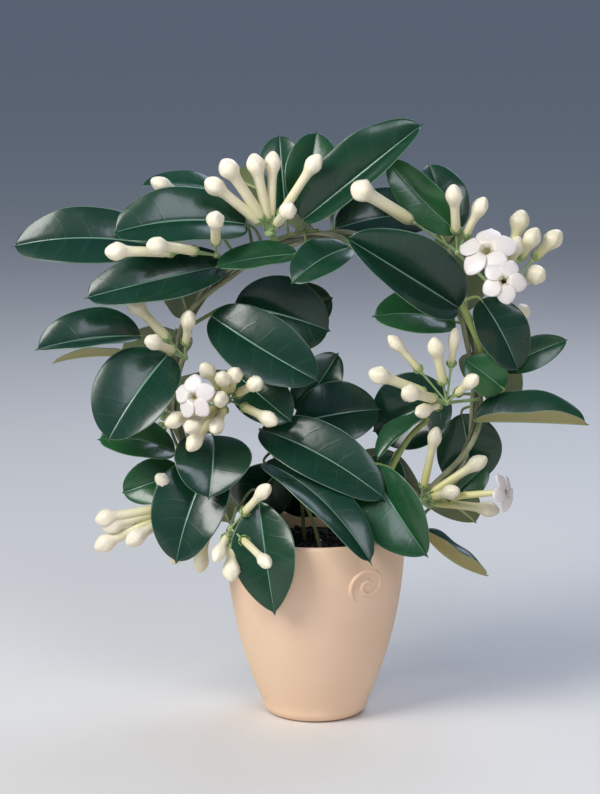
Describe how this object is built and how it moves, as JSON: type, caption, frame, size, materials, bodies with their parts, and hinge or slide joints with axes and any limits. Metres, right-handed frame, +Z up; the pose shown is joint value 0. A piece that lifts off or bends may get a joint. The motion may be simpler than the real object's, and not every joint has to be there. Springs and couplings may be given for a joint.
{
  "type": "potted madagascar jasmine",
  "caption": "Flowering madagascar jasmine vine trained round a wire hoop, with glossy dark leaves and waxy white flowers in umbels, planted in peat in a plain cream ceramic pot.",
  "frame": {"origin": "centre of the pot's flat foot, on the surface it stands on", "axes": "+Z up, +X to the right of the plant's front, which looks along -Y; the hoop lies in the XZ plane"},
  "size_m": [0.4119, 0.1931, 0.4339],
  "materials": {
    "matte_cream_glaze": "matt cream glaze, slightly peach, smooth",
    "peat": "rough near-black peat with a few light grains",
    "coated_wire": "dull green plastic coat",
    "young_bark": "olive grey-brown young bark, satin",
    "leaf": "glossy dark green, paler midrib and edge, olive underside",
    "waxy_flower": "waxy cream white, green at the tube's base and stalk"
  },
  "bodies": {
    "root": {"hoop": "coated_wire", "pot": "matte_cream_glaze", "shoot_back_left": "leaf", "shoot_back_left_low": "leaf", "shoot_back_right": "leaf", "shoot_back_right_low": "leaf", "shoot_back_top": "leaf", "shoot_bottom_left": "leaf", "shoot_bottom_right": "leaf", "shoot_left": "leaf", "shoot_left_inner": "leaf", "shoot_left_low": "leaf", "shoot_left_middle": "leaf", "shoot_right": "leaf", "shoot_right_behind": "leaf", "shoot_right_inner": "leaf", "shoot_right_low": "leaf", "shoot_soil_back": "leaf", "shoot_soil_centre": "leaf", "shoot_soil_right": "leaf", "shoot_top": "leaf", "shoot_top_inner": "leaf", "shoot_top_left": "leaf", "shoot_top_right": "leaf", "soil": "peat", "stem_left": "young_bark", "stem_right": "young_bark", "umbel_back_left": "waxy_flower", "umbel_back_right": "waxy_flower", "umbel_back_top": "waxy_flower", "umbel_behind_left": "waxy_flower", "umbel_bottom_left": "waxy_flower", "umbel_bottom_right": "waxy_flower", "umbel_front": "waxy_flower", "umbel_left": "waxy_flower", "umbel_left_inner": "waxy_flower", "umbel_right": "waxy_flower", "umbel_right_low": "waxy_flower", "umbel_top": "waxy_flower", "umbel_top_left": "waxy_flower", "umbel_top_right": "waxy_flower", "umbel_under_left": "waxy_flower"}
  },
  "joints": []
}
